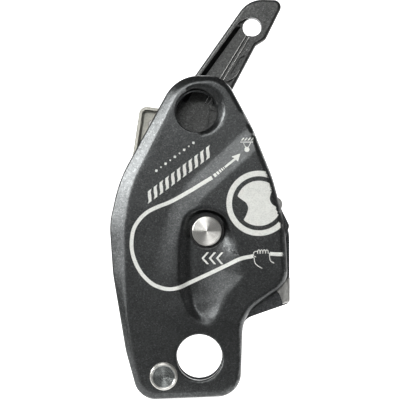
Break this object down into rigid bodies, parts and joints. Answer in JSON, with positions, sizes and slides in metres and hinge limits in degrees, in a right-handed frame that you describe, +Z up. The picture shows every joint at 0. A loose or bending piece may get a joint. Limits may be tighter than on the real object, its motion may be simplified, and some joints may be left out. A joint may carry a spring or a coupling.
{
  "type": "rope descender",
  "caption": "Rope descender with a swinging side plate, latch button, braking cam, release handle and an attachment eye.",
  "frame": {"origin": "centre of the attachment eye, midway between the two side plates", "axes": "+Z up the device towards the handle, +X to its right seen from the front, +Y from the front plate to the back"},
  "size_m": [0.0904, 0.0412, 0.2022],
  "materials": {
    "plate": "dark grey anodised, fine sparkle",
    "lever": "dark grey anodised, satin",
    "guide": "dark anodised, satin",
    "liner": "pressed stainless, satin",
    "cam": "investment cast and blasted",
    "bronze": "sintered bearing bronze",
    "steel": "stainless, machined",
    "collar": "blackened steel",
    "turned": "stainless, faced on a lathe",
    "spring": "drawn stainless wire"
  },
  "bodies": {
    "chassis": {"rear_side_plate": "plate", "wear_liner": "liner", "liner_rivets": "steel", "main_axle": "steel", "lock_pin_spring": "spring", "cam_spacer": "bronze", "cam_spring": "spring", "cam_stop_pin": "steel", "upper_rope_guide": "guide", "guide_screws": "steel", "brake_anvil": "liner", "anvil_block": "guide", "block_screws": "steel", "hinge_rivet": "turned", "hinge_spacer": "steel", "hinge_washer": "steel", "closing_dowel": "steel", "thrust_washer": "bronze", "friction_washer": "steel", "hub_washer": "steel", "handle_screw": "steel"},
    "side_plate": {"front_side_plate": "plate", "latch_collar": "collar", "button_spring": "spring"},
    "button": {"latch_button": "turned"},
    "pin": {"lock_pin": "steel"},
    "cam": {"cam_pulley": "cam", "cam_bush": "bronze"},
    "handle": {"handle_lever": "lever", "release_pin": "steel"}
  },
  "joints": [
    {"name": "side_plate_swing", "type": "hinge", "parent": "chassis", "child": "side_plate", "pos_m": [-0.0179, 0, -0.0094], "axis": [0, -1, 0], "range_deg": [0, 75]},
    {"name": "button_press", "type": "slide", "parent": "side_plate", "child": "button", "axis": [0, 1, 0], "range_m": [0, 0.0017], "stiffness_N_per_m": 900, "springref_m": -0.001, "deforming": ["button_spring"]},
    {"name": "lock_pin_slide", "type": "slide", "parent": "chassis", "child": "pin", "axis": [0, -1, 0], "range_m": [0, 0.0017], "deforming": ["lock_pin_spring"]},
    {"name": "cam_pivot", "type": "hinge", "parent": "chassis", "child": "cam", "pos_m": [0.00365, 0, 0.0632], "axis": [0, 1, 0], "range_deg": [0, 25], "stiffness_Nm_per_rad": 0.12, "springref_deg": -34.38, "deforming": ["cam_spring"]},
    {"name": "handle_pivot", "type": "hinge", "parent": "chassis", "child": "handle", "pos_m": [0.00365, 0, 0.0632], "axis": [0, -1, 0], "range_deg": [0, 130]}
  ],
  "couplings": [
    {"joint": "lock_pin_slide", "follows": "side_plate_swing", "m_per_rad": 0.001298}
  ]
}
